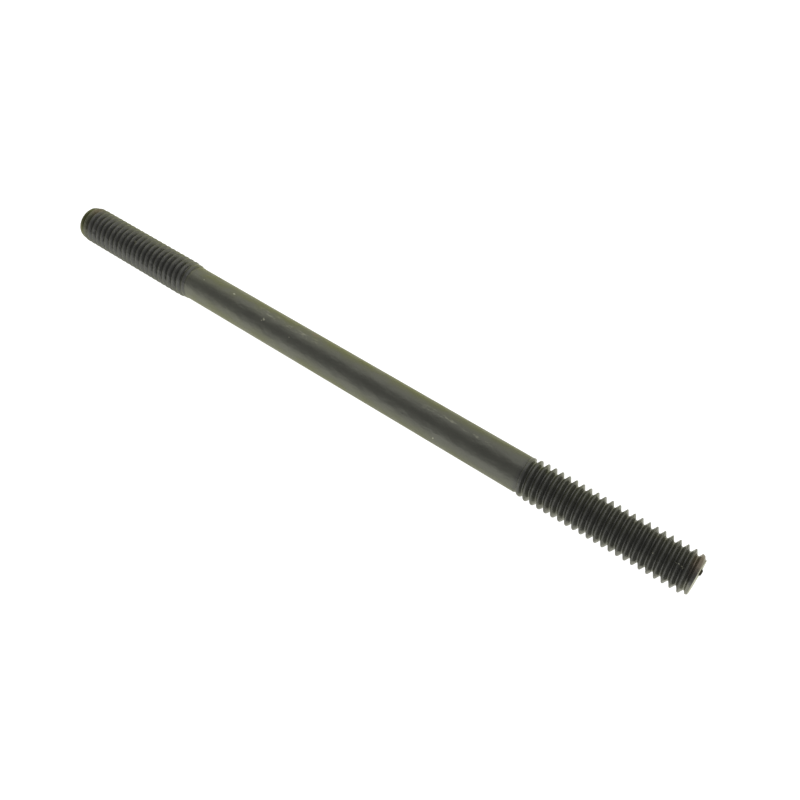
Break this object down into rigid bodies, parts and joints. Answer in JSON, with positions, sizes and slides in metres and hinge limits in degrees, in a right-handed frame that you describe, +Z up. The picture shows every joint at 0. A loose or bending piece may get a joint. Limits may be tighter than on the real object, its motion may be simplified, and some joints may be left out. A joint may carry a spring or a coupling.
{
  "type": "double ended stud",
  "caption": "Straight steel stud with a right-hand screw thread rolled on each end and a plain shank between them.",
  "frame": {"origin": "middle of the stud's length, on the surface it lies on, under its axis", "axes": "+X along the stud, towards the end with the pip; +Z up from the surface it lies on"},
  "size_m": [0.1496, 0.0078, 0.0079],
  "materials": {
    "black_oxide_steel": "black oxide, satin"
  },
  "bodies": {
    "root": {"stud": "black_oxide_steel"}
  },
  "joints": []
}
